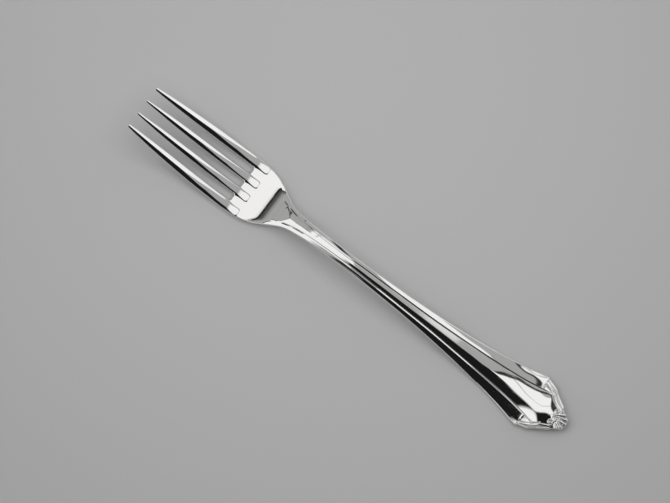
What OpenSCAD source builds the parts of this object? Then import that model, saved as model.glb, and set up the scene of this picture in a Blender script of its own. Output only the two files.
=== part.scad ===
// Dinner fork, one forging: four tines, a dished head, an arched neck and a fluted handle that ends in a
// scalloped double border, a pair of scrolls and a small fan.
// The length runs along X with the points at the low end, the face is up, and the underside rests at height zero.

/* [Tines] */
// Length of the tines, from the points to the ends of the slots
tine_length = 47.2; // [40:0.2:54]
// Width of each middle tine at its root
middle_tine_width = 3.25; // [2.7:0.05:4]
// Width of each outer tine at its root
outer_tine_width = 4.1; // [3.4:0.05:5]
// Width of the three slots where they end
slot_width = 3; // [2.4:0.1:3.8]
// Radius of the rounded corners at the slot ends
slot_corner = 0.7; // [0.3:0.05:1]
// Distance from one point to the next
point_spacing = 5.76; // [5:0.02:6.6]
// Width of each point
point_width = 0.7; // [0.4:0.05:1.2]
// Thickness of each point
point_thickness = 0.9; // [0.5:0.05:1.4]
// Thickness of the tines at their roots
tine_thickness = 2.1; // [1.6:0.05:2.8]
// Height of the underside of the points above the table
point_height = 13.1; // [8:0.1:20]

/* [Head] */
// Length of the head, from the slot ends to the start of the neck
head_length = 28; // [22:0.5:36]
// Height that the sides of the head rise above its middle where the bowl is deepest
dish_depth = 0.4; // [0.1:0.05:1]
// Thickness of the thin rim all round the head, neck and handle
rim_thickness = 1.5; // [1:0.05:1.9]
// Width of the rounding along the rim
rim_round = 0.7; // [0.3:0.05:1]

/* [Neck] */
// Length of the neck, over the top of the arch
neck_length = 36.8; // [28:0.4:48]
// Width of the neck where it is narrowest
neck_width = 6; // [4.6:0.1:8]
// Thickness of the neck at the top of the arch
neck_thickness = 3.9; // [3.2:0.1:5]
// Height of the underside of the arch above the table
arch_height = 8.1; // [5:0.1:12]

/* [Handle] */
// Length of the handle, from the neck to its corners
handle_length = 72.2; // [56:0.2:90]
// Width of the handle across its corners
handle_width = 22.2; // [17:0.2:26]
// Thickness of the middle of the handle near its end
handle_thickness = 2.7; // [2.3:0.1:3.6]
// Width of each of the two grooves that run along the face
groove_width = 0.75; // [0.5:0.05:1.1]
// Depth of each groove
groove_depth = 0.32; // [0.14:0.02:0.5]
// Slope of the two sides of the roofed middle panel near the end, as a rise over a run
panel_slope = 0.12; // [0.06:0.01:0.18]
// Slope of the side panels beside the grooves where the neck is narrowest, as a rise over a run
side_slope = 0.48; // [0.3:0.02:0.6]
// Width of the rounding over the ridge of the middle panel at the corners
ridge_round = 2.6; // [1:0.1:4]

/* [End] */
// Length of the end, from the corners to the tip of the fan
end_length = 15.8; // [13:0.2:20]
// Radius of the two rolled lines of the border
border_radius = 0.5; // [0.35:0.05:0.65]
// Distance between the two rolled lines
border_spacing = 1.25; // [1:0.05:1.6]
// Radius of each scroll, to the middle of its rolled line
scroll_radius = 0.95; // [0.7:0.05:1.2]
// Distance of each scroll from the middle line
scroll_offset = 2.5; // [2.2:0.1:3]
// Length of the fan
fan_length = 6.6; // [5:0.1:8]
// Radius of the round end of each lobe of the fan
lobe_radius = 0.75; // [0.5:0.05:0.9]

/* [Hidden] */

steel = [0.78, 0.78, 0.80];
dark_steel = [0.62, 0.63, 0.66];
light_steel = [0.88, 0.88, 0.86];

// Places along the fork, measured from the points
head_start = tine_length;
neck_start = head_start + head_length;
handle_start = neck_start + neck_length;
end_start = handle_start + handle_length;
fork_length = end_start + end_length;

// The head is as wide as its tines and slots together
head_width = 2 * outer_tine_width + 2 * middle_tine_width + 3 * slot_width;
middle_root = (slot_width + middle_tine_width) / 2;
outer_root = slot_width * 3 / 2 + middle_tine_width + outer_tine_width / 2;

// Height of the underside, as shares of the height of the points and then of the arch
tine_under_shares = [[0, 1], [0.25, 0.63], [0.5, 0.328], [0.75, 0.118], [0.9, 0.04]];
head_under_shares = [[0.1, 0], [0.28, 0.015], [0.37, 0.034], [0.46, 0.07], [0.55, 0.15], [0.64, 0.285], [0.73, 0.465],
    [0.82, 0.64], [0.91, 0.75], [1, 0.833]];
neck_under_shares = [[0.2, 0.955], [0.4, 0.985], [0.6, 0.995], [0.7, 0.99], [0.8, 0.97], [1, 0.9]];
handle_under_shares = [[0.25, 0.576], [0.5, 0.222], [0.6, 0.104], [0.7, 0.034], [0.84, 0.004], [0.92, 0], [1, 0]];

// Thickness along a tine, from that of its point at 0 to that of its root at 1
tine_thickness_shares = [[0, 0], [0.1, 0.3], [0.25, 0.55], [0.5, 0.82], [0.75, 0.94], [1, 1]];
// Width along a tine, from that of its point at 0 to that of its root at 1
tine_width_shares = [[0, 0], [0.03, 0.2], [0.08, 0.36], [0.16, 0.51], [0.24, 0.62], [0.4, 0.77], [0.56, 0.865],
    [0.72, 0.945], [0.88, 0.985], [1, 1]];
// Place of a tine's middle line, from that of its point at 0 to that of its root at 1
tine_spread_shares = [[0, 0], [0.08, 0.14], [0.24, 0.4], [0.4, 0.6], [0.56, 0.8], [0.72, 0.92], [0.88, 0.99], [1, 1]];
// Places of the cross-sections along a tine
tine_step_shares = [0.004, 0.02, 0.045, 0.08, 0.13, 0.19, 0.26, 0.34, 0.42, 0.5, 0.58, 0.66, 0.74, 0.82, 0.9, 0.95];
// Places of the points across the top and the underside of a tine, as shares of its half width
tine_top_shares = [-1, -0.97, -0.88, -0.72, -0.5, -0.25, 0, 0.25, 0.5, 0.72, 0.88, 0.97, 1];
tine_low_shares = [0.9, 0.65, 0.3, -0.3, -0.65, -0.9];
// Places of the last cross-sections of a tine, as shares of the radius of the slot's corner before the slot's end
slot_corner_shares = [1, 0.6, 0.3, 0.1, 0];
// Height of the widest part of a tine, as a share of its thickness
tine_waist_share = 0.45;
// Powers of the curves over and under a tine: the higher the power, the flatter the middle and the rounder the edges
point_top_power = 1.4;
root_top_power = 4;
tine_low_power = 3;

// Height of the dished face above the underside, as shares from the tine thickness to the neck thickness
bowl_shares = [[0, -0.05], [0.1, -0.05], [0.28, -0.03], [0.46, 0.06], [0.55, 0.13], [0.64, 0.24], [0.73, 0.35],
    [0.82, 0.67], [1, 1.97]];
// Height of the ridge above the underside, as shares of the neck thickness
head_ridge_shares = [[0.4, 3.4], [0.48, 2.3], [0.56, 1.45], [0.64, 0.89], [0.73, 0.8], [0.82, 0.785],
    [0.91, 0.845], [1, 0.892]];
neck_ridge_shares = [[0.1, 0.936], [0.2, 0.967], [0.4, 0.995], [0.6, 0.985], [0.8, 0.95], [1, 0.897]];
// Height of the ridge along the handle, as shares from the neck thickness at 0 to the handle thickness at 1
handle_ridge_shares = [[0.25, 0.667], [0.5, 1.01], [0.6, 1.13], [0.7, 1.25], [0.84, 1.26], [0.92, 1.19], [1, 1.03]];
// Height of the middle of the end, as shares of the handle thickness
end_ridge_shares = [[0.3, 1.06], [0.55, 1.1], [0.8, 1.08], [1, 0.97]];

// How much of the dish there is along the head: little at the slots and none where the neck begins
dish_shares = [[0, 0.3], [0.14, 0.3], [0.36, 1], [0.52, 1], [0.66, 0], [1, 0]];

// How sharply the dish turns up toward its sides
dish_power = 4;

// Half width of the head, from the half width of the neck at 0 to that of the tines and slots at 1
head_width_shares = [[0, 1], [0.13, 0.99], [0.26, 0.932], [0.36, 0.845], [0.46, 0.69], [0.53, 0.576], [0.6, 0.458],
    [0.67, 0.333], [0.73, 0.226], [0.8, 0.153], [0.87, 0.107], [1, 0.066]];
// Half width of the neck and handle, from the half width of the neck at 0 to that of the corners at 1
neck_width_shares = [[0.2, 0.032], [0.56, 0], [0.8, 0.01]];
handle_width_shares = [[0, 0.047], [0.167, 0.094], [0.324, 0.178], [0.43, 0.254], [0.53, 0.34], [0.636, 0.444],
    [0.742, 0.568], [0.846, 0.728], [0.9, 0.827], [0.95, 0.93], [1, 1]];
// Half width of the end, as shares of the half width at the corners: a hollow, a swell, a straight run and the fan
end_width_shares = [[0, 1], [0.05, 0.966], [0.11, 0.941], [0.2, 0.905], [0.3, 0.86], [0.37, 0.788], [0.44, 0.71],
    [0.56, 0.613], [0.65, 0.536], [0.71, 0.482], [0.74, 0.42], [0.77, 0.365], [0.8, 0.338], [0.85, 0.31], [0.89, 0.262],
    [0.925, 0.21], [0.955, 0.155], [0.98, 0.095], [1, 0.03]];

// Distance of each groove from the middle line, as shares of the half width at the same place
head_groove_shares = [[0, 0.58], [0.74, 0.59], [0.85, 0.537], [1, 0.444]];
neck_groove_shares = [[0.16, 0.4], [0.4, 0.355], [0.57, 0.35], [0.72, 0.39], [1, 0.4]];
handle_groove_shares = [[0.17, 0.425], [0.37, 0.425], [0.53, 0.452], [0.69, 0.465], [0.92, 0.475], [1, 0.509]];
end_groove_shares = [[0.15, 0.59], [0.3, 0.68], [1, 0.68]];
// Place on the head where the grooves begin, and place on the end where they stop at the border
groove_start_share = 0.72;
groove_stop_share = 0.3;

// Slope of the middle panel, as shares of its slope near the end
head_panel_shares = [[0.4, 1.8], [0.82, 1.7], [1, 1.2]];
neck_panel_shares = [[0.12, 0.6], [0.3, 0.25], [0.6, 0.25], [0.85, 0.6]];
handle_panel_shares = [[0.25, 0.7], [0.73, 0.92], [1, 1]];
// Slope of a side panel beside its groove, as shares of its slope where the neck is narrowest
head_side_shares = [[0.4, 0.63], [0.82, 0.85]];
neck_side_shares = [[0.26, 1], [0.67, 0.96]];
handle_side_shares = [[0.1, 0.84], [0.4, 0.75], [0.66, 0.63], [0.8, 0.42], [0.92, 0.3], [1, 0.25]];
// Slope of a side panel at its rim, as shares of the same slope
neck_rim_shares = [[-0.5, 0.63], [0, 0.9], [0.26, 0.92], [0.67, 0.75]];
handle_rim_shares = [[0.1, 0.46], [0.4, 0.2], [0.66, 0.15], [0.8, 0.15], [0.92, 0.02], [1, -0.08]];
// Rounding over the ridge, as shares of that at the corners
ridge_round_shares = [[0, 0.04], [0.53, 0.04], [0.66, 0.15], [0.8, 0.4], [0.92, 0.65], [1, 1], [1.2, 1.7]];

// Places of the points of a cross-section across the middle panel, and across a side panel
panel_step_shares = [0, 0.2, 0.4, 0.6, 0.8, 1];
side_step_shares = [0.16, 0.34, 0.55, 0.77, 1];
under_step_shares = [0.95, 0.7, 0.4];

// Half width of a groove, as a share of its width and at most as a share of its distance from the middle line
groove_half_share = 0.5;
groove_reach_share = 0.3;
// How far the lowest point of a groove lies toward the middle line, as a share of the groove's half width
groove_lean_share = 0.4;
// Run over which the grooves fade out on the head, as a share of their width
groove_fade_share = 4;
// Width of the rounding along the rim, at most as a share of the half width
rim_round_share = 0.3;
// Rounding of the rim, as shares of its width: where the face turns down and how far it has fallen there, then where
// the underside turns up and how far it has risen there
top_turn_share = 0.3;
top_fall_share = 0.35;
low_turn_share = 0.35;
low_rise_share = 0.25;
// Depth of the outermost point below the top of the rim, and least thickness of the rim, as shares of its thickness
edge_drop_share = 0.45;
rim_least_share = 0.6;
// How far the underside rises toward the rim, as a share of the dish and as a share of the thickness there
dish_lift_share = 0.5;
rim_lift_share = 0.2;

function fall(rows, i) = (rows[i + 1][1] - rows[i][1]) / (rows[i + 1][0] - rows[i][0]);

// Slope through a row of a table, level where the table turns, so that the curve never swings past its rows
function slope_at(rows, i) =
    i == 0 ? fall(rows, 0)
    : i == len(rows) - 1 ? fall(rows, i - 1)
    : fall(rows, i - 1) * fall(rows, i) <= 0 ? 0
    : 2 * fall(rows, i - 1) * fall(rows, i) / (fall(rows, i - 1) + fall(rows, i));

function row_before(rows, place, i = 0) =
    i >= len(rows) - 2 || place < rows[i + 1][0] ? i : row_before(rows, place, i + 1);

// Value at a place between the rows of a table of places and values
function smooth(rows, place) =
    let (i = row_before(rows, place), span = rows[i + 1][0] - rows[i][0])
    let (t = min(1, max(0, (place - rows[i][0]) / span)), u = 1 - t)
    rows[i][1] * (1 + 2 * t) * u * u + rows[i + 1][1] * (1 + 2 * u) * t * t
        + span * t * u * (slope_at(rows, i) * u - slope_at(rows, i + 1) * t);

// Rows of a table moved to a stretch of the fork and scaled between two values
function placed(shares, start, length, low, high) =
    [for (row = shares) [start + row[0] * length, low + row[1] * (high - low)]];

under_rows = concat(
    placed(tine_under_shares, 0, tine_length, 0, point_height),
    placed(head_under_shares, head_start, head_length, 0, arch_height),
    placed(neck_under_shares, neck_start, neck_length, 0, arch_height),
    placed(handle_under_shares, handle_start, handle_length, 0, arch_height),
    [[fork_length, 0]]);

bowl_rows = placed(bowl_shares, head_start, head_length, tine_thickness, neck_thickness);
dish_rows = placed(dish_shares, head_start, head_length, 0, 1);

ridge_rows = concat(
    placed(head_ridge_shares, head_start, head_length, 0, neck_thickness),
    placed(neck_ridge_shares, neck_start, neck_length, 0, neck_thickness),
    placed(handle_ridge_shares, handle_start, handle_length, neck_thickness, handle_thickness),
    placed(end_ridge_shares, end_start, end_length, 0, handle_thickness));

width_rows = concat(
    placed(head_width_shares, head_start, head_length, neck_width / 2, head_width / 2),
    placed(neck_width_shares, neck_start, neck_length, neck_width / 2, handle_width / 2),
    placed(handle_width_shares, handle_start, handle_length, neck_width / 2, handle_width / 2));

end_width_rows = placed(end_width_shares, end_start, end_length, 0, handle_width / 2);

groove_rows = concat(
    placed(head_groove_shares, head_start, head_length, 0, 1),
    placed(neck_groove_shares, neck_start, neck_length, 0, 1),
    placed(handle_groove_shares, handle_start, handle_length, 0, 1),
    placed(end_groove_shares, end_start, end_length, 0, 1));

panel_rows = concat(
    placed(head_panel_shares, head_start, head_length, 0, panel_slope),
    placed(neck_panel_shares, neck_start, neck_length, 0, panel_slope),
    placed(handle_panel_shares, handle_start, handle_length, 0, panel_slope));

side_rows = concat(
    placed(head_side_shares, head_start, head_length, 0, side_slope),
    placed(neck_side_shares, neck_start, neck_length, 0, side_slope),
    placed(handle_side_shares, handle_start, handle_length, 0, side_slope));

rim_slope_rows = concat(
    placed(neck_rim_shares, neck_start, neck_length, 0, side_slope),
    placed(handle_rim_shares, handle_start, handle_length, 0, side_slope));

ridge_round_rows = placed(ridge_round_shares, handle_start, handle_length, 0, ridge_round);

function half_width(s) = s <= end_start ? smooth(width_rows, s) : smooth(end_width_rows, s);
function under(s) = smooth(under_rows, s);
function groove_place(s) = smooth(groove_rows, s) * half_width(s);

// How far the sides of the dish have risen above its middle at a distance y from the middle line
function dish(s, y) =
    dish_depth * smooth(dish_rows, s) * pow(min(1, abs(y) / half_width(s)), dish_power);

// How far the ridged face has fallen below its ridge at a distance y from the middle line: the middle panel
// is a roof with a round ridge, and the side panels are hollow, steep beside the grooves and flatter at the rim
function crown(s, y) =
    let (g = groove_place(s), off = min(abs(y), g), wide = half_width(s) - g)
    let (round = max(0, smooth(ridge_round_rows, max(s, handle_start))), t = max(0, abs(y) - g) / wide)
    let (inner = smooth(side_rows, s), outer = smooth(rim_slope_rows, s))
    smooth(panel_rows, s) * (sqrt(off * off + round * round) - round)
        + wide * (inner * t - (inner - outer) * t * t * t / 3);

// Height of the face: the lower of the dish and the crowned ridge, which meet in a point on the neck
function face(s, y) =
    under(s) + (s < neck_start
        ? min(smooth(bowl_rows, s) + dish(s, y), smooth(ridge_rows, s) - crown(s, y))
        : smooth(ridge_rows, s) - crown(s, y));

// Depth of the grooves, which fade out on the head and stop at the border
function groove_fade(s) =
    let (start = head_start + head_length * groove_start_share, stop = end_start + end_length * groove_stop_share)
    min(1, max(0, (s - start) / groove_width / groove_fade_share), max(0, (stop - s) / groove_width));

// One half of a cross-section, from the middle of the face round the rim to the middle of the underside
function half_section(s) =
    let (w = half_width(s), edge = min(rim_round, w * rim_round_share), flat = w - edge)
    let (g = min(groove_place(s), flat - groove_width))
    let (lip = min(groove_width * groove_half_share, g * groove_reach_share), inner = g - lip, outer = g + lip)
    let (low = under(s), rim_top = max(face(s, flat), low + rim_thickness), lift = dish(s, w) * dish_lift_share)
    let (rim_low = min(low + lift + (rim_top - low) * rim_lift_share, rim_top - rim_thickness * rim_least_share))
    concat(
        [for (f = panel_step_shares) [f * inner, face(s, f * inner)]],
        [[g - lip * groove_lean_share, face(s, g) - groove_depth * groove_fade(s)], [outer, face(s, outer)]],
        [for (f = side_step_shares) let (y = outer + f * (flat - outer)) [y, max(face(s, y), f == 1 ? rim_top : 0)]],
        [[w - edge * top_turn_share, rim_top - edge * top_fall_share], [w, rim_top - rim_thickness * edge_drop_share],
            [w - edge * low_turn_share, rim_low + edge * low_rise_share]],
        [for (f = under_step_shares) [f * flat, low + lift * f * f]],
        [[0, low]]);

function section(s) =
    let (half = half_section(s))
    concat(half, [for (i = [len(half) - 2:-1:1]) [-half[i][0], half[i][1]]]);

// Solid skin through a row of cross-sections, closed by the first and the last
module loft(places, sections) {
    count = len(sections[0]);
    last = len(sections) - 1;
    polyhedron(
        points = [for (i = [0:last]) for (p = sections[i]) [places[i] - fork_length / 2, p[0], p[1]]],
        faces = concat(
            [[for (j = [count - 1:-1:0]) j]],
            [[for (j = [0:count - 1]) last * count + j]],
            [for (i = [0:last - 1]) for (j = [0:count - 1])
                let (a = i * count + j, b = i * count + (j + 1) % count)
                each [[b, b + count, a + count], [b, a + count, a]]]),
        convexity = 8);
}

function steps(from, to, count) = [for (i = [0:count]) from + (to - from) * i / count];

module body_between(places) loft(places, [for (s = places) section(s)]);

function tine_height(share) =
    smooth([for (row = tine_thickness_shares)
        [row[0], point_thickness + row[1] * (tine_thickness - point_thickness)]], share);

// One cross-section of a tine: roofed near the point, flat with round edges near the root
function tine_section(share, middle_point, middle_root, root_width, outer_side) =
    let (s = share * tine_length, left = tine_length - s)
    let (half = (point_width + smooth(tine_width_shares, share) * (root_width - point_width)) / 2)
    let (middle = middle_point + smooth(tine_spread_shares, share) * (middle_root - middle_point))
    let (corner = left < slot_corner ? slot_corner - sqrt(slot_corner * slot_corner - pow(slot_corner - left, 2)) : 0)
    let (tall = tine_height(share), base = under(s) + dish(head_start, middle))
    let (power = point_top_power + (root_top_power - point_top_power) * share * share)
    concat(
        [for (v = tine_top_shares)
            [middle + v * half + sign(v) * (sign(v) == outer_side ? 0 : corner),
                base + tall * (tine_waist_share + (1 - tine_waist_share) * sqrt(1 - pow(abs(v), power)))]],
        [for (v = tine_low_shares)
            [middle + v * half + sign(v) * (sign(v) == outer_side ? 0 : corner),
                base + tall * tine_waist_share * (1 - sqrt(1 - pow(abs(v), tine_low_power)))]]);

// A tine on the side given by 1 or -1
module tine(side, point_offset, root_offset, root_width, outer_side) {
    corner_steps = [for (f = slot_corner_shares) 1 - f * slot_corner / tine_length];
    shares = concat([0], tine_step_shares, corner_steps);
    loft([for (f = shares) f * tine_length],
        [for (f = shares) tine_section(f, side * point_offset, side * root_offset, root_width, outer_side)]);
}

module left_outer_tine() {
    color(steel) tine(-1, point_spacing * 1.5, outer_root, outer_tine_width, -1);
}

module left_middle_tine() {
    color(dark_steel) tine(-1, point_spacing / 2, middle_root, middle_tine_width, 0);
}

module right_middle_tine() {
    color(steel) tine(1, point_spacing / 2, middle_root, middle_tine_width, 0);
}

module right_outer_tine() {
    color(dark_steel) tine(1, point_spacing * 1.5, outer_root, outer_tine_width, 1);
}

// Numbers of stretches between the cross-sections of the head, neck, handle and end
head_stretches = 26;
neck_stretches = 10;
handle_stretches = 22;
end_stretches = 26;

module head() {
    color(light_steel) body_between(steps(head_start, neck_start, head_stretches));
}

module neck() {
    color(steel) body_between(steps(neck_start, handle_start, neck_stretches));
}

// Places of the rolled lines along the end, as shares of its length
border_step_shares = [0.04, 0.1, 0.16, 0.22, 0.28, 0.33, 0.38, 0.43, 0.5, 0.57, 0.64, 0.69, 0.73];
// Places of the corner roll and of the scroll along the end, as shares of its length
corner_roll_share = 0.04;
scroll_place_share = 0.63;
// Length of the corner roll, as a share of the distance between the rolled lines, and radius of its inner end, as a
// share of that of the lines
corner_reach_share = 1.6;
corner_thin_share = 0.7;
// Depth of the middle of a rolled line below the face, and radius of its two ends, as shares of its radius
line_sink_share = 0.3;
line_end_share = 0.5;
// Short run over which the lean of the outline is measured, as a share of the length of the end
lean_run_share = 0.01;
// Turn at which the scroll begins, turn from each of its points to the next, and number of its points after the first
scroll_start_turn = 75;
scroll_step_turn = 27;
scroll_steps = 16;
// How much each point lies closer to the eye than the one before, then the radii of the spiral line and of the eye,
// all as shares of the radius of the scroll
scroll_tighten_share = 0.033;
scroll_line_share = 0.34;
scroll_eye_share = 0.4;
// Turn from each lobe of the fan to the next
lobe_turn = 16.5;
// Radius of the narrow end of a lobe, and height of a lobe, as shares of its radius
lobe_root_share = 0.45;
lobe_height_share = 0.7;
// How much shorter the first lobe beside the middle one is, as a share of the length of the fan
lobe_shorten_share = 0.045;
// Numbers of sides of the rolled lines, the spiral lines, the beads, and the wide and narrow ends of the lobes
line_sides = 8;
spiral_sides = 6;
bead_sides = 10;
lobe_sides = 16;
lobe_root_sides = 12;

// Point of a rolled line that runs inside the outline of the end at a given distance, on the side 1 or -1
function border_point(share, inset, side) =
    let (s = end_start + share * end_length, step = end_length * lean_run_share)
    let (rise = (half_width(s + step) - half_width(s - step)) / (2 * step), long = sqrt(1 + rise * rise))
    let (x = s + inset * rise / long, y = half_width(s) - inset / long)
    [x - fork_length / 2, side * y, face(x, y) - border_radius * line_sink_share];

// Round bar along a row of points, with its sections square to the row
module rolled_line(points, radius, sides) {
    last = len(points) - 1;
    rings = [for (i = [0:last])
        let (ahead = points[min(i + 1, last)] - points[max(i - 1, 0)], along = ahead / norm(ahead))
        let (across = cross([0, 0, 1], along) / norm(cross([0, 0, 1], along)), up = cross(along, across))
        let (r = radius * (i == 0 || i == last ? line_end_share : 1))
        for (j = [0:sides - 1]) points[i] + r * (cos(360 * j / sides) * across + sin(360 * j / sides) * up)];
    polyhedron(
        points = rings,
        faces = concat(
            [[for (j = [0:sides - 1]) j]],
            [[for (j = [sides - 1:-1:0]) last * sides + j]],
            [for (i = [0:last - 1]) for (j = [0:sides - 1])
                let (a = i * sides + j, b = i * sides + (j + 1) % sides)
                each [[a, a + sides, b + sides], [a, b + sides, b]]]),
        convexity = 4);
}

// The two rolled lines of the border and its short cross roll at the corner, on the side 1 or -1
module border(side) {
    rolled_line([for (f = border_step_shares) border_point(f, border_radius, side)], border_radius, line_sides);
    rolled_line([for (f = border_step_shares) border_point(f, border_radius + border_spacing, side)],
        border_radius, line_sides);
    hull() {
        translate(border_point(corner_roll_share, border_radius, side)) sphere(border_radius, $fn = bead_sides);
        translate(border_point(corner_roll_share, border_radius + border_spacing * corner_reach_share, side))
            sphere(border_radius * corner_thin_share, $fn = bead_sides);
    }
}

// The spiral that the inner rolled line turns into, with its domed eye, on the side 1 or -1
module scroll(side) {
    middle = [end_start + scroll_place_share * end_length - fork_length / 2, scroll_offset];
    turns = [for (i = [0:scroll_steps])
        let (turn = scroll_start_turn - i * scroll_step_turn, r = scroll_radius * (1 - scroll_tighten_share * i))
        [middle[0] + r * cos(turn), side * (middle[1] + r * sin(turn))]];
    rolled_line([for (p = turns) [p[0], p[1], face(p[0] + fork_length / 2, p[1])]], scroll_radius * scroll_line_share,
        spiral_sides);
    eye = [middle[0], side * middle[1], face(middle[0] + fork_length / 2, middle[1])];
    hull() {
        translate(eye) sphere(scroll_radius * scroll_eye_share, $fn = bead_sides);
        translate(eye - [0, 0, scroll_radius / 2]) sphere(scroll_radius * scroll_eye_share, $fn = bead_sides);
    }
}

// One lobe of the fan, turned from the middle line
module lobe(turn, reach) {
    start = fork_length / 2 - fan_length;
    hull() {
        translate([start, 0, face(fork_length - fan_length, 0)])
            scale([1, 1, lobe_height_share]) sphere(lobe_radius * lobe_root_share, $fn = lobe_root_sides);
        translate([start + (reach - lobe_radius) * cos(turn), (reach - lobe_radius) * sin(turn),
            face(fork_length - lobe_radius, 0)])
            scale([1, 1, lobe_height_share]) sphere(lobe_radius, $fn = lobe_sides);
    }
}

module fan() {
    for (i = [-2:2]) lobe(i * lobe_turn, fan_length * (1 - lobe_shorten_share * i * i));
}

module handle() {
    color(light_steel) union() {
        body_between(concat(steps(handle_start, end_start, handle_stretches),
            [for (i = [1:end_stretches]) end_start + end_length * i / end_stretches]));
        for (side = [-1, 1]) {
            border(side);
            scroll(side);
        }
        fan();
    }
}

left_outer_tine();
left_middle_tine();
right_middle_tine();
right_outer_tine();
head();
neck();
handle();
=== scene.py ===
"""Dinner fork on a pale studio floor: one polished forging as a single unbroken skin."""
import math
import bpy
import numpy as np
from mathutils import Matrix, Vector


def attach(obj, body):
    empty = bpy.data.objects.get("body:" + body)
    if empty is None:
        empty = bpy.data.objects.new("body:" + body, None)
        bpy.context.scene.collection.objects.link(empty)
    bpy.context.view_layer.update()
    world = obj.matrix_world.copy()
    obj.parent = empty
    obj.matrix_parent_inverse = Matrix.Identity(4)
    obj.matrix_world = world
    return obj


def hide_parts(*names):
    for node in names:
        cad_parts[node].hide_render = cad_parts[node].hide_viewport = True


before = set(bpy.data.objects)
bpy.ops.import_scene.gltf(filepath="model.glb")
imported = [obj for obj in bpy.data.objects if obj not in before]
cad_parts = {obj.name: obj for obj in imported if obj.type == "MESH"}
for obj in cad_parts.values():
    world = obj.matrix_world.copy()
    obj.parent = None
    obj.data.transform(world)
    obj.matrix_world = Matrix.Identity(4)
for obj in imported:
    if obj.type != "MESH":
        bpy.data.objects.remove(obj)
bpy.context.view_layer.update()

# Plan distances below are millimetres: s runs from the points (0) to the fan's tip (200), y across, z up.
FORK_LENGTH = 200.0
ROOT = 47.2                 # where the slots end
SLOT_CORNER = 0.7
CORNER = 184.2              # the two corners of the handle
CORNER_HALF_WIDTH = 11.15
HEAD_HALF_WIDTH = 11.85
FAN_ROOT = 192.9            # where the fan's lobes meet
FAN_CENTRE = 198.4          # from here the fan's outline is half an ellipse
FAN_HALF_WIDTH = 2.78
FAN_LENGTH = FORK_LENGTH - FAN_CENTRE
GRID = 0.05                 # step of a blurred table
FINE_GRID = 0.02            # step of a summed slope
TABLE_TAIL = 50             # how far a table runs on past its ends
TABLE_TRIM = 20             # how much of that is cut off again


def slope(degrees):
    return math.tan(math.radians(degrees))


def curve(rows, spread):
    """Smooth curve through a table: straight runs between its rows, blurred over a short distance."""
    places = np.array([row[0] for row in rows], float)
    values = np.array([row[1] for row in rows], float)
    first = (values[1] - values[0]) / (places[1] - places[0])
    last = (values[-1] - values[-2]) / (places[-1] - places[-2])
    places = np.concatenate([[places[0] - TABLE_TAIL], places, [places[-1] + TABLE_TAIL]])
    values = np.concatenate([[values[0] - TABLE_TAIL * first], values, [values[-1] + TABLE_TAIL * last]])
    grid = np.arange(places[0] + TABLE_TRIM, places[-1] - TABLE_TRIM, GRID)
    raw = np.interp(grid, places, values)
    reach = int(round(4 * spread / GRID))
    steps = np.arange(-reach, reach + 1) * GRID
    weights = np.exp(-0.5 * (steps / spread) ** 2)
    padded = np.pad(raw, reach, mode="reflect", reflect_type="odd")
    raw = np.convolve(padded, weights / weights.sum(), mode="valid")
    return lambda s: np.interp(s, grid, raw)


def height_curve(rows, spread, place, height):
    """Height whose slope is a blurred table, and which has a given value at a given place."""
    rise_at = curve(rows, spread)
    grid = np.arange(-5, 205, FINE_GRID)
    rise = rise_at(grid)
    total = np.concatenate([[0], np.cumsum((rise[1:] + rise[:-1]) / 2 * FINE_GRID)])
    total += height - np.interp(place, grid, total)
    return lambda s: np.interp(s, grid, total)


def smooth_min(a, b, blend):
    h = np.clip(0.5 + 0.5 * (b - a) / blend, 0, 1)
    return b * (1 - h) + a * h - blend * h * (1 - h)


def ramp(q, low, high):
    t = np.clip((q - low) / (high - low), 0, 1)
    return t * t * (3 - 2 * t)


# Outline
body_half_width = curve([(47.2, 11.85), (50.8, 11.7), (54.6, 11.2), (58.3, 10.0), (60.2, 9.1), (62.1, 8.1),
    (64, 7.05), (65.9, 5.95), (67.7, 5.0), (69.6, 4.35), (71.5, 3.95), (75.3, 3.6), (79, 3.35), (82.8, 3.2),
    (90.3, 3.1), (96, 3.0), (101.6, 3.05), (107, 3.2), (113, 3.4), (124, 3.76), (135.5, 4.44), (143, 5.06),
    (150.5, 5.75), (158, 6.6), (165.6, 7.6), (173, 8.9), (177, 9.7), (180.6, 10.6), (184.2, 11.25),
    (188, 11.9)], 1.0)
border_half_width = curve([(184.2, 11.1), (185, 10.75), (185.9, 10.45), (187.4, 10.05), (188.9, 9.55),
    (190, 8.75), (191.2, 7.85), (193, 6.8), (194.5, 5.95), (195.4, 5.35), (195.9, 4.7), (196.3, 4.05),
    (196.9, 3.75), (197.6, 3.45), (198.2, 2.95), (198.8, 2.35)], 0.22)


def half_width(s):
    s = np.asarray(s, float)
    tip = FAN_HALF_WIDTH * np.sqrt(np.clip(1 - ((s - FAN_CENTRE) / FAN_LENGTH) ** 2, 0, 1))
    end = np.where(s > FAN_CENTRE, tip, border_half_width(s))
    most = np.where(s < FORK_LENGTH / 2, np.inf, CORNER_HALF_WIDTH)
    return np.minimum(np.where(s < CORNER, body_half_width(s), end), most)


outer_middle = curve([(0, 8.64), (3.8, 8.79), (11.3, 9.07), (18.8, 9.29), (26.3, 9.55), (33.9, 9.7),
    (41.4, 9.78), (47.2, 9.8)], 2.0)
inner_middle = curve([(0, 2.86), (3.8, 2.92), (11.3, 2.99), (18.8, 3.04), (26.3, 3.07), (33.9, 3.1),
    (41.4, 3.12), (47.2, 3.125)], 2.0)
outer_half = curve([(0, 0.66), (1, 0.79), (3.8, 1.02), (11.3, 1.43), (18.8, 1.69), (26.3, 1.86), (33.9, 1.96),
    (41.4, 2.01), (47.2, 2.05)], 0.8)
inner_half = curve([(0, 0.56), (1, 0.65), (3.8, 0.84), (11.3, 1.24), (18.8, 1.43), (26.3, 1.55), (33.9, 1.61),
    (41.4, 1.62), (47.2, 1.625)], 0.8)

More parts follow.
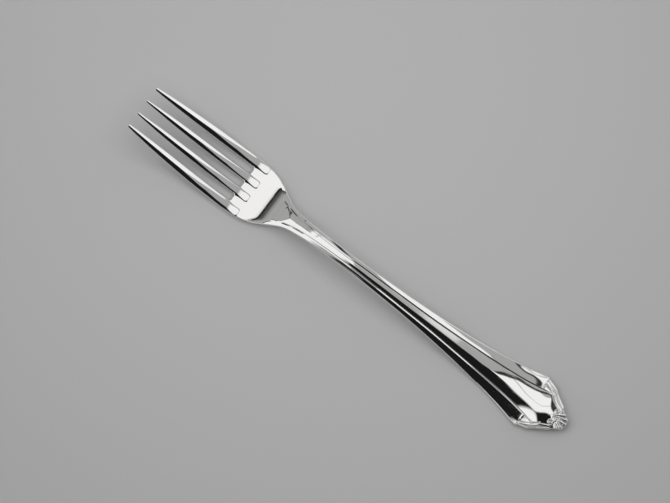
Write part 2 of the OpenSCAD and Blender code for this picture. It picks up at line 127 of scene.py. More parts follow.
# Heights along the fork
face_line = height_curve([(0, -0.37), (11.8, -0.34), (23.6, -0.27), (35.4, -0.17), (42, -0.11), (45, -0.08),
    (47.2, -0.06), (48.5, -0.035), (50.5, 0.0), (54, 0.04), (57.5, 0.11), (59.6, slope(10)), (61, 0.27),
    (62.3, slope(20)), (64, 0.52), (66, 0.68), (70, 0.78), (75, 0.78)], 0.7, 50, 2.12)
APEX = 69.4
ridge_line = height_curve([(58, 0.50), (67, 0.50), (70, 0.48), (73, 0.40), (76, 0.25), (79, 0.16),
    (81.7, 0.09), (87, 0.04), (93, 0.017), (98.6, -0.01), (104, -0.058), (112, -0.135), (120, -0.181),
    (135, -0.192), (148, -0.182), (156, -0.13), (161.8, -slope(3.5)), (167, -slope(0.5)),
    (171.2, slope(1.1)), (177.6, slope(3.8)), (180.6, slope(5.2)), (183.3, slope(6.2)), (185.5, slope(7)),
    (188.2, slope(7.2)), (189.4, slope(4.5)), (190.8, slope(0.5)), (193, 0.0), (200, -0.04)],
    1.2, APEX, float(face_line(APEX)))
thickness = curve([(0, 0.9), (4.7, 1.26), (11.8, 1.56), (23.6, 1.88), (35.4, 2.03), (47.2, 2.1), (55, 2.1),
    (60, 2.25), (65, 2.5), (69.4, 3.0), (75, 3.5), (82.6, 3.8), (90, 3.9), (97, 3.85), (105, 3.7),
    (112, 3.5), (130, 3.1), (148, 2.7), (160, 2.45), (166, 2.4), (172, 2.5), (200, 4.0)], 2.0)

# Shape across the fork
groove_place = curve([(47, 7.0), (60, 5.2), (64, 4.1), (68, 2.9), (71, 2.15), (75, 1.6), (81, 1.3), (90, 1.1),
    (96, 1.05), (101.6, 1.2), (113, 1.36), (124, 1.6), (132, 1.78), (139, 2.0), (150.5, 2.6), (162, 3.3),
    (169, 3.85), (177, 4.6), (184, 5.65), (189, 6.5), (195, 7.6)], 2.0)
facet_slope = curve([(58, 0.22), (70, 0.2), (75, 0.14), (80, 0.07), (85, 0.03), (98, 0.03), (106, 0.07),
    (130, 0.085), (150, 0.1), (158, 0.1), (164, 0.07), (170, 0.04), (185, 0.038), (192, 0.03),
    (200, 0.02)], 1.5)
facet_round = curve([(58, 0.06), (150, 0.06), (158, 0.25), (170, 0.3), (200, 0.3)], 1.5)
facet_bow = curve([(58, 0.0), (155, 0.0), (161, 0.01), (166, 0.022), (171, 0.026), (188, 0.026), (194, 0.01),
    (200, 0.01)], 1.5)
side_inner = curve([(58, 0.3), (70, 0.42), (85, 0.5), (100, 0.46), (120, 0.4), (140, 0.37), (150, 0.35),
    (160, 0.3), (163, 0.285), (167, 0.24), (171, 0.215), (177, 0.185), (184, 0.17), (200, 0.15)], 1.5)
side_outer = curve([(58, 0.3), (70, 0.42), (85, 0.45), (100, 0.36), (115, 0.2), (124, 0.12), (130, 0.075),
    (140, 0.06), (150, 0.05), (160, 0.05), (165, 0.085), (170, 0.11), (173, 0.1), (176, 0.085),
    (180, 0.075), (184, 0.07), (200, 0.05)], 1.5)
middle_rise = curve([(170, 0.0), (177, 0.0), (184, 0.2), (188, 0.24), (200, 0.24)], 1.5)
side_turn = curve([(58, 1.0), (110, 1.0), (130, 1.3), (140, 1.6), (150, 2.4), (157, 1.5), (162, 0.5),
    (166, 0.6), (200, 0.6)], 1.0)
SHOULDER = 0.6
SHOULDER_RUN = 0.16
groove_depth = curve([(60, 0.0), (66, 0.0), (69, 0.16), (75, 0.2), (100, 0.24), (120, 0.3), (184, 0.32),
    (188.5, 0.26), (189.4, 0.0), (200, 0.0)], 0.3)
dish_depth = curve([(46, 0.0), (54, 0.0), (57.5, 0.1), (60, 0.35), (63, 0.45), (67.5, 0.0), (72, 0.0)], 0.8)
pad_flat = curve([(0, 0), (20, 0.0), (30, 0.2), (38, 0.5), (47.2, 0.85), (50, 1.3), (60, 1.3)], 1.0)
pad_turn = curve([(0, 0.1), (20, 0.15), (30, 0.4), (38, 0.7), (47.2, 0.5), (49, 0.14), (60, 0.14)], 1.0)
pad_side = curve([(0, 0.22), (20, 0.22), (30, 0.26), (38, 0.3), (46, 0.3), (49.5, 0.25), (60, 0.25)], 0.8)
pad_drop = curve([(0, 2.0), (40, 1.0), (47, 0.14), (49.5, 0.042), (60, 0.042)], 0.8)
pad_round = curve([(0, 0), (48, 0.0), (50, 0.6), (60, 0.6)], 0.3)
PAD_END = 52.3
END_LEAN = 0.09
facet_lift = curve([(58, 3.7), (62.5, 1.12), (64, 0.42), (65.3, 0.05), (67, -0.1), (69, 0.0), (75, 0.0)], 0.4)
underside_lift = curve([(0, 0.2), (40, 0.3), (50, 0.5), (62, 0.8), (75, 1.2), (97, 1.3), (120, 0.8),
    (150, 0.4), (180, 0.15), (200, 0.1)], 2.0)


def slot_centre(s):
    """Middle line of a side slot, and half its width; the middle slot's half width."""
    low = inner_middle(s) + inner_half(s)
    high = outer_middle(s) - outer_half(s)
    return (low + high) / 2, (high - low) / 2, inner_middle(s) - inner_half(s)


def flare(s):
    """How far a slot's rounded corner narrows it."""
    run = np.clip(s - (ROOT - SLOT_CORNER), 0, SLOT_CORNER)
    return SLOT_CORNER - np.sqrt(SLOT_CORNER ** 2 - run ** 2)


def slot_distance(s, off, half):
    """Distance from a slot's edge, where off is the distance from its middle line."""
    beside = off - half
    run = np.maximum(s - (ROOT - SLOT_CORNER), 0)
    over = off - (half - SLOT_CORNER)
    corner = np.hypot(run, np.maximum(over, 0)) - SLOT_CORNER
    ahead = s - ROOT
    return np.where(s < ROOT - SLOT_CORNER, beside, np.where(over > 0, corner, ahead))


def edge_distance(s, y):
    """Distance of a point from the nearest edge of the fork's outline."""
    y = np.abs(y)
    at = np.minimum(s, ROOT)
    centre, side_half, middle_half = slot_centre(at)
    near = np.minimum(slot_distance(s, np.abs(y - centre), side_half), slot_distance(s, y, middle_half))
    wide = half_width(np.maximum(s, ROOT))
    step = 0.02
    after = half_width(np.clip(s + step, ROOT, FORK_LENGTH))
    before = half_width(np.clip(s - step, ROOT, FORK_LENGTH))
    lean = (after - before) / (2 * step)
    body = (wide - y) / np.sqrt(1 + lean ** 2)
    fan = FAN_LENGTH - np.hypot(s - FAN_CENTRE, y * FAN_LENGTH / FAN_HALF_WIDTH)
    body = np.where(s > FAN_CENTRE, fan, body)
    outer = np.where(s < ROOT, outer_middle(at) + outer_half(at) - y, body)
    tip_half = np.where(y > centre, outer_half(at), inner_half(at))
    tip_middle = np.where(y > centre, outer_middle(at), inner_middle(at))
    cap = tip_half - np.hypot(np.minimum(s - tip_half, 0), y - tip_middle)
    result = np.minimum(near, outer)
    return np.maximum(np.where(s < tip_half, np.minimum(result, cap), result), 0)


GROOVE_INNER_WALL = 0.2
GROOVE_OUTER_WALL = 0.5


def groove(q, depth):
    """Depth of a groove at a distance q outward from its line: a steep inner wall and a wider outer wall."""
    inner = np.clip((q + GROOVE_INNER_WALL) / GROOVE_INNER_WALL, 0, 1)
    outer = 1 - np.clip(q / GROOVE_OUTER_WALL, 0, 1)
    return depth * np.minimum(inner, outer)


def crown(s, y):
    """Fall of the handle's face below its ridge: a ridged middle panel and hollow side panels."""
    g, w = groove_place(s), half_width(s)
    round_off, inside = facet_round(s), np.minimum(y, g)
    facet = facet_slope(s) * (np.sqrt(inside ** 2 + round_off ** 2) - round_off)
    panel = facet + facet_bow(s) * inside ** 2 / 2 + middle_rise(s) * (inside / g) ** 2
    wide = np.maximum(w - g, 0.3)
    t = np.clip((y - g) / wide, 0, 1)
    inner, outer, power = side_inner(s), side_outer(s), side_turn(s) + 1
    hollow = outer * t + (inner - outer) * (1 - (1 - t) ** power) / power
    bend = SHOULDER_RUN * np.log(np.cosh((t - SHOULDER) / SHOULDER_RUN) / math.cosh(SHOULDER / SHOULDER_RUN))
    shouldered = (inner + outer) / 2 * t - (inner - outer) / 2 * bend
    mix = ramp(s, 164, 174)
    return panel + wide * (hollow * (1 - mix) + shouldered * mix)


def pad_fall(s, y):
    """Fall from the flat top of the nearest tine or of its tongue in the bowl."""
    at = np.minimum(s, ROOT)
    fall = None
    for middle in (outer_middle(at), inner_middle(at)):
        side = np.maximum(np.abs(y - middle) - pad_flat(s) + pad_round(s), 0)
        ahead = np.maximum(s - PAD_END + pad_round(s), 0)
        far = np.hypot(side, ahead)
        q = np.maximum(far - pad_round(s), 0)
        turn = pad_turn(s)
        lean = pad_side(s) + (END_LEAN - pad_side(s)) * (ahead / np.maximum(far, 0.001)) ** 3
        drop = lean * np.where(q < turn, q * q / (2 * turn), q - turn / 2)
        fall = drop if fall is None else np.minimum(fall, drop)
    most = pad_drop(s)
    return most * np.tanh(fall / most)


def line_distance(s, y, points):
    """Distance from a row of points joined by straight runs."""
    best = np.full(s.shape, 1e9)
    for (a, b), (c, d) in zip(points[:-1], points[1:]):
        length = (c - a) ** 2 + (d - b) ** 2
        t = np.clip(((s - a) * (c - a) + (y - b) * (d - b)) / length, 0, 1)
        best = np.minimum(best, np.hypot(s - a - t * (c - a), y - b - t * (d - b)))
    return best


def roll(distance, radius, height):
    """Rounded bar of a given half width and height."""
    q = np.clip(distance / radius, 0, 1)
    return height * np.sqrt(1 - q ** 2) * (1 - q ** 8)


def inset_line(start, end, count, inset):
    """Points that run inside the border's outline at a given distance."""
    found = []
    for s in np.linspace(start, end, count):
        step = 0.15
        lean = float(half_width(s + step) - half_width(s - step)) / (2 * step)
        long = math.hypot(1, lean)
        found.append((s + inset * lean / long, float(half_width(s)) - inset / long))
    return found


SCROLL = (194.3, 2.45)
spiral = [(SCROLL[0] + r * math.cos(t), SCROLL[1] + r * math.sin(t))
    for t, r in ((math.radians(55 - 25 * i), 1.3 - 0.055 * i) for i in range(17))]
inner_roll = curve([(184.8, 9.4), (186.4, 8.75), (187.8, 8.05), (189.7, 6.95), (191.3, 5.7), (193.4, 4.6),
    (195, 3.8)], 0.35)
inner_line = [(s, float(inner_roll(s))) for s in np.linspace(184.8, 194.7, 34)]
outer_line = inset_line(184.8, 195.6, 34, 0.5)
LOBE_LENGTH = 6.55
LOBE_TURN = 17              # degrees from each lobe of the fan to the next


def relief(s, y):
    """Height of the border, scrolls, fan and corner rolls above the plain end of the handle."""
    raised = np.zeros(s.shape)
    near = s > CORNER - 2
    p, q = s[near], np.abs(y[near])
    edge = edge_distance(p, q)
    cove = 0.18 * (1 - ramp(edge, 1.7, 3.0)) * ramp(p, CORNER - 0.2, CORNER + 0.35)
    bars = roll(line_distance(p, q, outer_line), 0.5, 0.26)
    bars = np.maximum(bars, roll(line_distance(p, q, inner_line + spiral[:1]), 0.58, 0.3))
    bars = np.maximum(bars, roll(line_distance(p, q, spiral), 0.34, 0.28))
    bars = np.maximum(bars, roll(np.hypot(p - SCROLL[0], q - SCROLL[1]), 0.4, 0.34))
    bars = np.maximum(bars, roll(line_distance(p, q, [(184.5, 6.4), (184.5, 10.1)]), 0.45, 0.05))
    bars = np.maximum(bars, roll(np.hypot(p - 184.6, q - 10.3), 0.55, 0.3))
    reach = np.hypot(p - FAN_ROOT, q)
    for k in range(3):
        turn = math.radians(LOBE_TURN * k)
        long = LOBE_LENGTH - 0.28 * k * k
        points = [(FAN_ROOT, 0.0), (FAN_ROOT + long * math.cos(turn), long * math.sin(turn))]
        wide = 0.16 + 0.115 * np.clip(reach, 0, 7)
        bars = np.maximum(bars, roll(line_distance(p, q, points), wide, 0.12 + 0.06 * np.clip(reach, 0, 6)))
    raised[near] = bars - cove
    return raised


def top_height(s, y):
    """Height of the upper skin."""
    y = np.abs(y)
    low = face_line(s) + dish_depth(s) * np.clip(y / half_width(np.clip(s, ROOT, 150)), 0, 1) ** 14
    low = low - np.where(s < 57, pad_fall(s, y), pad_drop(s))
    high = ridge_line(s) + facet_lift(s) - crown(s, y) - groove(y - groove_place(s), groove_depth(s))
    blend = 0.5 * (1 - ramp(s, 65.5, 67.8)) + 0.001
    z = np.where(s < 60, low, np.where(s < 72, smooth_min(low, high, blend), high))
    return z + relief(s, y)


def bottom_height(s, y):
    """Height of the under skin."""
    y = np.abs(y)
    middle = np.where(s < APEX, face_line(s), ridge_line(s)) - thickness(s)
    middle = 0.5 * (middle + np.sqrt(middle ** 2 + 0.02))
    return middle + underside_lift(s) * np.clip(y / HEAD_HALF_WIDTH, 0, 1) ** 2 * ramp(s, 40, 50)


def column_shares(first, last, count, ends):
    """Places across a strip, closer together at its ends."""
    t = np.linspace(0, 1, count + 1)
    return first + (last - first) * ((1 - ends) * t + ends * (1 - np.cos(math.pi * t)) / 2)


MIDDLE_COLUMNS, TINE_COLUMNS, SLOT_COLUMNS = 8, 40, 14
root_centre, root_side_half, root_middle_half = (float(v) for v in slot_centre(ROOT))
opening = [0, root_middle_half - SLOT_CORNER, root_centre - root_side_half + SLOT_CORNER,
    root_centre + root_side_half - SLOT_CORNER, float(half_width(ROOT))]
root_half = np.concatenate([
    column_shares(opening[0], opening[1], MIDDLE_COLUMNS, 0)[:-1],
    column_shares(opening[1], opening[2], TINE_COLUMNS, 0.75)[:-1],
    column_shares(opening[2], opening[3], SLOT_COLUMNS, 0)[:-1],
    column_shares(opening[3], opening[4], TINE_COLUMNS, 0.75)])
HALF_COLUMNS = len(root_half) - 1
PANEL_COLUMNS, GROOVE_COLUMNS, SIDE_COLUMNS = 26, 30, 28


def body_columns(s):
    """Places of the columns across half the body: close together along the groove and at the rim."""
    w, g = float(half_width(s)), float(groove_place(s))
    g = min(g, 0.62 * w)
    near = np.array([0.24, 0.62]) if w > 2 else np.array([0.1 * w, 0.2 * w])
    lip = min(0.75, 0.3 * w)
    inner = np.linspace(0, g - near[0], PANEL_COLUMNS + 1)[:-1]
    line = np.linspace(g - near[0], g + near[1], GROOVE_COLUMNS + 1)[:-1]
    side = np.linspace(g + near[1], w - lip, SIDE_COLUMNS + 1)[:-1]
    t = np.linspace(0, 1, HALF_COLUMNS - PANEL_COLUMNS - GROOVE_COLUMNS - SIDE_COLUMNS + 1)
    edge = w - lip * (1 - np.sin(t * math.pi / 2))
    grooved = np.concatenate([inner, line, side, edge])
    across = np.linspace(0, 1, HALF_COLUMNS + 1)
    plain = w * (0.8 * across + 0.2 * np.sin(across * math.pi / 2))
    mix = float(ramp(s, 187.5, 190.5))
    grooved = (1 - mix) * grooved + mix * plain
    start = float(1 - ramp(s, 47.6, 60))
    return (1 - start) * grooved + start * root_half * w / root_half[-1]


def rows_between(low, high, step):
    return list(np.linspace(low, high, max(1, int(round((high - low) / step))) + 1)[1:])


rim_rows = [ROOT + 0.5 * (1 - math.cos(math.pi / 2 * i / 9)) for i in range(10)]
body_rows = (rim_rows + rows_between(rim_rows[-1], 54, 0.16) + rows_between(54, 72, 0.27)
    + rows_between(72, 160, 0.6) + rows_between(160, 183.4, 0.4) + rows_between(183.4, 199.3, 0.085)
    + rows_between(199.3, 199.9, 0.04) + [199.93, 199.96, 199.985])
tine_rows = [0.004, 0.02, 0.05, 0.09, 0.14, 0.2, 0.27, 0.35, 0.44, 0.54] + rows_between(0.54, 46.3, 0.4) \
    + rows_between(46.3, 47.12, 0.1)


def build_plan():
    """Plan of the skin: each column's place, the four-sided faces, and which columns are on the outline."""
    places, faces, on_edge = [], [], []
    count = 0

    def add(s, y, edge):
        nonlocal count
        first = count
        places.append(np.stack([s, y], -1))
        on_edge.append(edge)
        count += len(s)
        return first

    grid = []
    for i, s in enumerate(body_rows):
        half = body_columns(s)
        y = np.concatenate([-half[:0:-1], half])
        edge = np.zeros(len(y), bool)
        edge[[0, -1]] = True
        if i == len(body_rows) - 1:
            edge[:] = True
        if i == 0:
            off = np.abs(y)
            edge |= off <= opening[1] + 1e-9
            edge |= (off >= opening[2] - 1e-9) & (off <= opening[3] + 1e-9)
        first = add(np.full(len(y), s), y, edge)
        grid.append(np.arange(first, first + len(y)))
    grid = np.array(grid)

    def quads(block):
        a, b = block[:-1, :-1], block[:-1, 1:]
        c, d = block[1:, 1:], block[1:, :-1]
        faces.append(np.stack([a, d, c, b], -1).reshape(-1, 4))

    quads(grid)
    tine_shares = column_shares(0, 1, TINE_COLUMNS, 0.75)
    outer_start = MIDDLE_COLUMNS + TINE_COLUMNS + SLOT_COLUMNS
    for side in (1, -1):
        for outer in (False, True):
            first_column = outer_start if outer else MIDDLE_COLUMNS
            block = []
            for i, s in enumerate(tine_rows):
                at = np.array(s)
                middle = float(outer_middle(at) if outer else inner_middle(at))
                half = float(outer_half(at) if outer else inner_half(at))
                corner = float(flare(at))
                low, high = middle - half - corner, middle + half + (0 if outer else corner)
                if s < half:
                    part = math.sqrt(max(1 - (1 - s / half) ** 2, 0))
                    low, high = middle - half * part, middle + half * part
                y = side * (low + (high - low) * tine_shares)
                if side < 0:
                    y = y[::-1]
                edge = np.zeros(len(y), bool)
                edge[[0, -1]] = True
                if i == 0:
                    edge[:] = True
                first = add(np.full(len(y), s), y, edge)
                block.append(np.arange(first, first + len(y)))
            columns = HALF_COLUMNS + first_column + np.arange(TINE_COLUMNS + 1)
            if side < 0:
                columns = 2 * HALF_COLUMNS - columns[::-1]
            block.append(grid[0][columns])
            quads(np.array(block))
    return np.concatenate(places), np.concatenate(faces), np.concatenate(on_edge)


# Rims: how far in they round, and how far the upper side falls there
TINE_RIM, HEAD_RIM, HANDLE_RIM = 0.34, 0.42, 0.5
TINE_UNDER_RIM, BODY_UNDER_RIM = 0.5, 0.9
HEAD_FALL, HANDLE_FALL = 0.6, 0.78
MOST_FALL_SHARE = 0.42      # of the thickness
LEAST_THICKNESS = 0.3
DEEPEST_GROOVE = 0.32
# width of the band of painted shade and rougher steel along each groove
SHADE_AND_FILM_WIDTH = 0.22


def rim_fall(edge, radius):
    """Share of a rim's fall at a distance from the edge: all of it on the edge, none from the radius on."""
    q = 1 - np.clip(edge / radius, 0, 1)
    return 1 - np.sqrt(np.clip(1 - q * q, 0, 1))


def hollow_shade_share(s, y, edge):
    """Share of painted shade that a place gets, where the steel is also rougher: it lies in the grooves and
    between the rolls of the border.
    """
    off = (np.abs(y) - groove_place(s) + 0.02) / SHADE_AND_FILM_WIDTH
    grooved = np.exp(-off ** 2) * groove_depth(s) / DEEPEST_GROOVE
    between_rolls = (1 - ramp(relief(s, y), -0.02, 0.1)) * (1 - ramp(edge, 2.3, 2.9))
    bordered = between_rolls * ramp(s, CORNER, CORNER + 0.4)
    return np.clip(np.maximum(np.where(s > 62, grooved, 0), bordered), 0, 1)


def build_fork():
    plan, faces, on_edge = build_plan()
    s, y = plan[:, 0], plan[:, 1]
    edge = edge_distance(s, y)
    edge[on_edge] = 0
    top = top_height(s, y)
    bottom = bottom_height(s, y)
    tall = np.maximum(top - bottom, LEAST_THICKNESS)
    on_handle = s >= FORK_LENGTH / 2
    top_fall = np.minimum(np.where(on_handle, HANDLE_FALL, HEAD_FALL), MOST_FALL_SHARE * tall)
    rim_height = top - top_fall
    radius = np.where(s < ROOT, TINE_RIM, np.where(on_handle, HANDLE_RIM, HEAD_RIM))
    upper = top - top_fall * rim_fall(edge, radius)
    under_radius = np.where(s < ROOT, TINE_UNDER_RIM, BODY_UNDER_RIM)
    lower = bottom + (rim_height - bottom) * rim_fall(edge, under_radius)
    middle = np.where(on_edge, rim_height, upper)
    inner = np.nonzero(~on_edge)[0]
    under_id = np.arange(len(s))
    under_id[inner] = len(s) + np.arange(len(inner))
    x = s - FORK_LENGTH / 2
    upper_points = np.stack([x, y, middle], -1)
    lower_points = np.stack([x[inner], y[inner], lower[inner]], -1)
    points = np.concatenate([upper_points, lower_points]) / 1000
    all_faces = np.concatenate([faces, under_id[faces][:, ::-1]])
    mesh = bpy.data.meshes.new("fork")
    mesh.vertices.add(len(points))
    mesh.vertices.foreach_set("co", points.astype(np.float32).ravel())
    mesh.loops.add(all_faces.size)
    mesh.loops.foreach_set("vertex_index", all_faces.astype(np.int32).ravel())
    mesh.polygons.add(len(all_faces))
    mesh.polygons.foreach_set("loop_start", np.arange(0, all_faces.size, 4, dtype=np.int32))
    mesh.polygons.foreach_set("use_smooth", np.ones(len(all_faces), bool))
    hollow_shade_and_roughness = mesh.attributes.new("hollow", "FLOAT", "POINT")
    # painted shade in the grooves and between the border's rolls, also used to roughen the steel there
    shares = np.concatenate([hollow_shade_share(s, y, edge), np.zeros(len(inner))])
    hollow_shade_and_roughness.data.foreach_set("value", shares.astype(np.float32))
    mesh.update(calc_edges=True)
    mesh.validate()
    piece = bpy.data.objects.new("fork", mesh)
    bpy.context.scene.collection.objects.link(piece)
    return piece


# Node groups
class Group:
    """Node group with named sockets, and short ways to add the nodes inside it."""

    def __init__(self, name, takes, gives):
        self.tree = bpy.data.node_groups.new(name, "ShaderNodeTree")
        for kind, sockets in (("INPUT", takes), ("OUTPUT", gives)):
            for label, form in sockets:
                self.tree.interface.new_socket(label, in_out=kind, socket_type="NodeSocket" + form)
        self.takes = self.tree.nodes.new("NodeGroupInput").outputs
        self.gives = self.tree.nodes.new("NodeGroupOutput").inputs

    def put(self, value, socket):
        if isinstance(value, bpy.types.NodeSocket):
            self.tree.links.new(value, socket)
        else:
            socket.default_value = value

    def math(self, kind, *values):
        node = self.tree.nodes.new("ShaderNodeMath")
        node.operation = kind
        for socket, value in zip(node.inputs, values):
            self.put(value, socket)
        return node.outputs[0]

    def spread(self, value, low, high, bottom=0.0, top=1.0):
        """Value eased from bottom to top while it runs from low to high."""
        node = self.tree.nodes.new("ShaderNodeMapRange")
        node.interpolation_type = "SMOOTHSTEP"
        sockets = {"Value": value, "From Min": low, "From Max": high, "To Min": bottom, "To Max": top}
        for label, given in sockets.items():
            self.put(given, node.inputs[label])
        return node.outputs["Result"]

    def blend(self, share, first, second, kind="FLOAT"):
        node = self.tree.nodes.new("ShaderNodeMix")
        node.data_type = kind
        place = {"FLOAT": (0, 2, 3, 0), "RGBA": (0, 6, 7, 2)}[kind]
        for index, value in zip(place, (share, first, second)):
            self.put(value, node.inputs[index])
        return node.outputs[place[3]]

    def noise(self, place, scale, detail, stretch=(1, 1, 1), turn=0.0):
        mapping = self.tree.nodes.new("ShaderNodeMapping")
        self.put(place, mapping.inputs["Vector"])
        mapping.inputs["Rotation"].default_value = (0, 0, math.radians(turn))
        mapping.inputs["Scale"].default_value = stretch
        node = self.tree.nodes.new("ShaderNodeTexNoise")
        self.put(mapping.outputs["Vector"], node.inputs["Vector"])
        node.inputs["Scale"].default_value = scale
        node.inputs["Detail"].default_value = detail
        return node.outputs["Fac"]


def fine_scratches():
    """Hair scratches of use: thin lines a few millimetres long in three directions."""
    group = Group("fine_scratches", [("Place", "Vector")], [("Scratches", "Float")])
    lines = 0.0
    for turn, rarity in ((8, 0.66), (-24, 0.69), (67, 0.72)):
        layer = group.noise(group.takes["Place"], 240, 2.0, (1, 34, 1), turn)
        lines = group.math("MAXIMUM", lines, group.spread(layer, rarity, rarity + 0.06))
    group.put(lines, group.gives["Scratches"])
    return group.tree


def polish():
    """Colour, roughness and relief of polished steel, with painted shade darkening the colour in the hollows,
    where the steel is also rougher.
    """
    group = Group("polish", [("Place", "Vector"), ("Scratches", "Float"), ("Hollow", "Float")],
        [("Color", "Color"), ("Roughness", "Float"), ("Height", "Float")])
    scratches, hollow = group.takes["Scratches"], group.takes["Hollow"]
    cloud = group.spread(group.noise(group.takes["Place"], 70, 4.0), 0.35, 0.7)
    speck = group.spread(group.noise(group.takes["Place"], 2600, 1.0), 0.62, 0.72)
    # painted shade in the hollows, made uneven by the cloud; it also roughens the steel there
    hollow_shade_and_roughness = group.math("MULTIPLY", hollow, group.spread(cloud, 0, 1, 0.35, 0.8))
    tone_and_painted_shade = group.math("MULTIPLY_ADD", cloud, 0.05, hollow_shade_and_roughness)
    # colour pulled towards (0.5, 0.49, 0.47) by the painted shade in the hollows, plus a little random tone
    # from the cloud
    group.put(group.blend(tone_and_painted_shade, (0.93, 0.922, 0.915, 1), (0.5, 0.49, 0.47, 1), "RGBA"), group.gives["Color"])
    rough = group.math("MULTIPLY_ADD", hollow_shade_and_roughness, 0.16, group.spread(cloud, 0, 1, 0.03, 0.05))
    rough = group.math("MULTIPLY_ADD", speck, 0.02, rough)
    group.put(group.math("MULTIPLY_ADD", scratches, 0.07, rough), group.gives["Roughness"])
    wave = group.noise(group.takes["Place"], 120, 1.0)
    group.put(group.math("MULTIPLY_ADD", scratches, -0.12, wave), group.gives["Height"])
    return group.tree


SCRATCHES, POLISH = fine_scratches(), polish()


def add_group(tree, group):
    node = tree.nodes.new("ShaderNodeGroup")
    node.node_tree = group
    return node


def polished_steel():
    material = bpy.data.materials.new("polished_steel")
    material.use_nodes = True
    tree = material.node_tree
    link = tree.links.new
    shader = tree.nodes["Principled BSDF"]
    shader.inputs["Metallic"].default_value = 1.0
    place = tree.nodes.new("ShaderNodeTexCoord").outputs["Object"]
    # share of painted shade in the hollows, read from the mesh
    hollow = tree.nodes.new("ShaderNodeAttribute")
    hollow.attribute_name = "hollow"
    scratches, finish = add_group(tree, SCRATCHES), add_group(tree, POLISH)
    link(place, scratches.inputs["Place"])
    link(place, finish.inputs["Place"])
    link(scratches.outputs["Scratches"], finish.inputs["Scratches"])
    link(hollow.outputs["Fac"], finish.inputs["Hollow"])
    link(finish.outputs["Color"], shader.inputs["Base Color"])
    link(finish.outputs["Roughness"], shader.inputs["Roughness"])
    bump = tree.nodes.new("ShaderNodeBump")
    bump.inputs["Distance"].default_value = 4e-6
    link(finish.outputs["Height"], bump.inputs["Height"])
    link(bump.outputs["Normal"], shader.inputs["Normal"])
    return material


fork = build_fork()
fork.data.materials.append(polished_steel())
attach(fork, "root")
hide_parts("left_outer_tine", "left_middle_tine", "right_middle_tine", "right_outer_tine",
    "head", "neck", "handle")


# Floor and lamp
def studio_paper():
    material = bpy.data.materials.new("studio_paper")
    material.use_nodes = True
    shader = material.node_tree.nodes["Principled BSDF"]
    shader.inputs["Base Color"].default_value = (0.49, 0.49, 0.492, 1)
    shader.inputs["Roughness"].default_value = 0.9
    shader.inputs["Specular IOR Level"].default_value = 0.0
    return material


def build_floor(reach):
    mesh = bpy.data.meshes.new("floor")
    corners = [(-reach, -reach, 0), (reach, -reach, 0), (reach, reach, 0), (-reach, reach, 0)]
    mesh.from_pydata(corners, [], [(0, 1, 2, 3)])
    mesh.materials.append(studio_paper())
    floor = bpy.data.objects.new("floor", mesh)
    bpy.context.scene.collection.objects.link(floor)
    return floor


def hang_lamp(place, size, power):
    """Soft lamp that lights the floor; the bright panels round the fork are all that its steel mirrors."""
    data = bpy.data.lights.new("lamp", "AREA")
    data.size = size
    data.energy = power
    lamp = bpy.data.objects.new("lamp", data)
    lamp.location = place
    lamp.visible_glossy = False
    lamp.visible_camera = False
    bpy.context.scene.collection.objects.link(lamp)


build_floor(3.0)
hang_lamp(place=(-0.05, 0.056, 0.3), size=0.36, power=0.58)

# Studio: each panel is (left, right, low, high, softness of each side, brightness), in degrees from overhead
WHITE, GREY = 0.93, 0.38
PANELS = [
    (-47, -34, 22.5, 28, (3, 3, 1.5, 8), 0.012),
    (-37, -24, 19.5, 27, (3, 3, 1.5, 8), 0.012),
    (-27, -12, 17, 25, (3, 1, 0.6, 7), 0.012),
    (-50, -41, 47, 61, (1.5, 1.5, 1.5, 2), 0.02),
    (-85, -50, 36.5, 43, (3, 2, 1.5, 1.5), 0.012),
    (-64, -48, 62, 80, (2, 2, 1.5, 4), 0.012),
    (-60, 5, 2, 17, (3, 0.6, 0.6, 0.6), WHITE),
    (-9, 5, 16.5, 30, (1, 0.6, 0.5, 1.0), WHITE),
    (-62, -17, -27, 17, (4, 2, 4, 0.6), WHITE),
    (-85, -40, -52, 17, (4, 3, 3, 0.6), WHITE),
    (-85, -45, 15, 36, (4, 2, 3, 1.0), WHITE),
    (-62, -29, 10, 21.5, (4, 1, 3, 0.6), WHITE),
    (-14, 5, 15.5, 16.3, (3, 0.5, 0.5, 0.5), 0.38),
    (5.0, 7.2, 7.6, 62, (0.4, 0.5, 0.6, 5), 0.03),
    (24, 80, -8, 29, (0.8, 6, 2, 1), WHITE),
    (36, 85, 44, 90, (4, 4, 4, 4), 0.8),
    (31, 36, 45.8, 49, (1, 1, 0.6, 0.8), 0.03),
    (11.5, 64, -64, -12, (0.6, 8, 8, 1.5), 0.010),
    (3, 13.2, -64, -6, (1, 0.6, 8, 1.5), 0.010),
    (-20, 4.5, -64, 0.9, (2, 1, 8, 0.5), 0.010),
    (-33.5, -5, -64, -32, (1.5, 5, 8, 2), 0.012),
    (-62, -32, -64, -43, (3, 1, 8, 1.5), 0.012),
]


PANEL_SIDES = ("Left", "Right", "Low", "High")


def soft_panel():
    """One bright or dark panel laid over the light found so far."""
    softs = [side + " Soft" for side in PANEL_SIDES]
    labels = ["Across", "Away", "Light", *PANEL_SIDES, *softs, "Brightness"]
    group = Group("soft_panel", [(label, "Float") for label in labels], [("Light", "Float")])
    takes = group.takes
    mask = 1.0
    places = ("Across", "Across", "Away", "Away")
    for place, side, falling in zip(places, PANEL_SIDES, (False, True, False, True)):
        low = group.math("SUBTRACT", takes[side], takes[side + " Soft"])
        high = group.math("ADD", takes[side], takes[side + " Soft"])
        share = group.spread(takes[place], low, high, float(falling), float(not falling))
        mask = group.math("MULTIPLY", mask, share)
    group.put(group.blend(mask, takes["Light"], takes["Brightness"]), group.gives["Light"])
    return group.tree


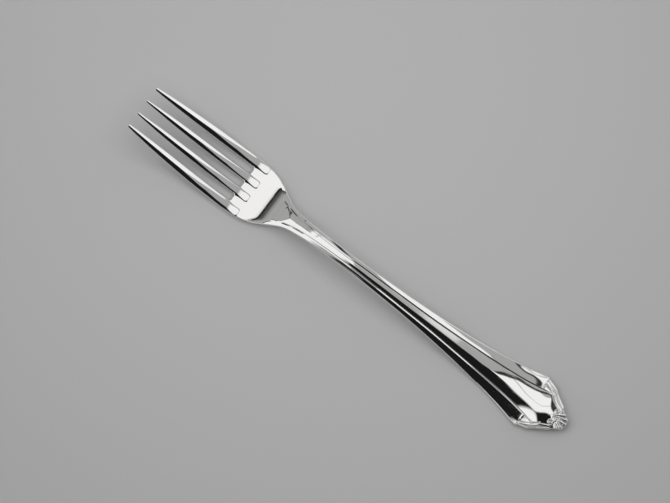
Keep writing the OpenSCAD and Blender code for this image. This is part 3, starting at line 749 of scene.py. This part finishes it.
def direction_angles():
    """Angles of a direction from overhead, across the picture and away toward its top, in degrees."""
    group = Group("direction_angles", [("Direction", "Vector")], [("Across", "Float"), ("Away", "Float")])

    def along(axis):
        node = group.tree.nodes.new("ShaderNodeVectorMath")
        node.operation = "DOT_PRODUCT"
        group.put(group.takes["Direction"], node.inputs[0])
        node.inputs[1].default_value = axis
        return node.outputs["Value"]

    for label, axis in (("Across", (0.8, 0.6, 0)), ("Away", (-0.6, 0.8, 0))):
        angle = group.math("ARCTAN2", along(axis), along((0, 0, 1)))
        group.put(group.math("MULTIPLY", angle, 180 / math.pi), group.gives[label])
    return group.tree


def studio_world():
    world = bpy.data.worlds.new("studio")
    bpy.context.scene.world = world
    world.use_nodes = True
    tree = world.node_tree
    angles = add_group(tree, direction_angles())
    tree.links.new(tree.nodes.new("ShaderNodeTexCoord").outputs["Generated"], angles.inputs["Direction"])
    panel_group = soft_panel()
    light = None
    for left, right, low, high, soft, brightness in PANELS:
        panel = add_group(tree, panel_group)
        for label in ("Across", "Away"):
            tree.links.new(angles.outputs[label], panel.inputs[label])
        if light is None:
            panel.inputs["Light"].default_value = GREY
        else:
            tree.links.new(light, panel.inputs["Light"])
        for side, value, softness in zip(PANEL_SIDES, (left, right, low, high), soft):
            panel.inputs[side].default_value = value
            panel.inputs[side + " Soft"].default_value = softness
        panel.inputs["Brightness"].default_value = brightness
        light = panel.outputs["Light"]
    tree.links.new(light, tree.nodes["Background"].inputs["Color"])


studio_world()


# Camera
DISTANCE = 5.0
PICTURE_WIDTH = 670
PIXELS_PER_METRE = 2648
SENSOR_WIDTH = 36
LEAN = math.radians(4.56)
LEAN_TOWARD = math.radians(-57.7)
TURN = math.radians(36.88)
TARGET = Vector((-0.00928, 0.00048, 0.004))


def set_camera():
    data = bpy.data.cameras.new("camera")
    camera = bpy.data.objects.new("camera", data)
    bpy.context.scene.collection.objects.link(camera)
    bpy.context.scene.camera = camera
    aside = math.sin(LEAN)
    back = Vector((aside * math.cos(LEAN_TOWARD), aside * math.sin(LEAN_TOWARD), math.cos(LEAN)))
    up = back.cross(Vector((math.cos(TURN), math.sin(TURN), 0))).normalized()
    right = up.cross(back)
    camera.matrix_world = Matrix((right, up, back)).transposed().to_4x4()
    camera.location = TARGET + back * DISTANCE
    data.sensor_width = SENSOR_WIDTH
    data.lens = SENSOR_WIDTH * DISTANCE * PIXELS_PER_METRE / PICTURE_WIDTH
    data.clip_start = 0.05
    data.clip_end = 20


set_camera()
bpy.context.scene.view_settings.view_transform = "Standard"
